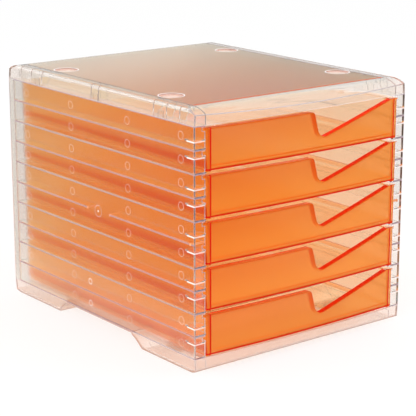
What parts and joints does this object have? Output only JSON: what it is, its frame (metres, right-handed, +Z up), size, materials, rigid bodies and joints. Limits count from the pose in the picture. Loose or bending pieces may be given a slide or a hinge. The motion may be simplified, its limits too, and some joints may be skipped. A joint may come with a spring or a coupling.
{
  "type": "plastic drawer tower",
  "caption": "Clear desktop housing with a stack of translucent orange paper trays on slides, each with a bowed front and a cut-away finger scoop, on feet that stack.",
  "frame": {"origin": "middle of the footprint, on the surface that the tower stands on", "axes": "+Z up, -Y toward the front where the trays open, +X to the right as seen from the front"},
  "size_m": [0.275, 0.34, 0.264],
  "materials": {
    "clear_housing": "clear moulded polystyrene, faintly frosted on the large faces, bright along the edges",
    "orange_tray": "translucent orange polystyrene, frosted outside, with saturated edges",
    "pad": "soft pale rubber"
  },
  "bodies": {
    "housing": {"lid": "clear_housing", "base": "clear_housing", "side_wall_left": "clear_housing", "side_wall_right": "clear_housing", "rear_panel": "clear_housing", "foot_pad_front_left": "pad", "foot_pad_front_right": "pad", "foot_pad_rear_left": "pad", "foot_pad_rear_right": "pad"},
    "tray_1": {"drawer_1": "orange_tray"},
    "tray_2": {"drawer_2": "orange_tray"},
    "tray_3": {"drawer_3": "orange_tray"},
    "tray_4": {"drawer_4": "orange_tray"},
    "tray_5": {"drawer_5": "orange_tray"}
  },
  "joints": [
    {"name": "tray_1_slide", "type": "slide", "parent": "housing", "child": "tray_1", "axis": [0, -1, 0], "range_m": [0, 0.25]},
    {"name": "tray_2_slide", "type": "slide", "parent": "housing", "child": "tray_2", "axis": [0, -1, 0], "range_m": [0, 0.25]},
    {"name": "tray_3_slide", "type": "slide", "parent": "housing", "child": "tray_3", "axis": [0, -1, 0], "range_m": [0, 0.25]},
    {"name": "tray_4_slide", "type": "slide", "parent": "housing", "child": "tray_4", "axis": [0, -1, 0], "range_m": [0, 0.25]},
    {"name": "tray_5_slide", "type": "slide", "parent": "housing", "child": "tray_5", "axis": [0, -1, 0], "range_m": [0, 0.25]}
  ]
}
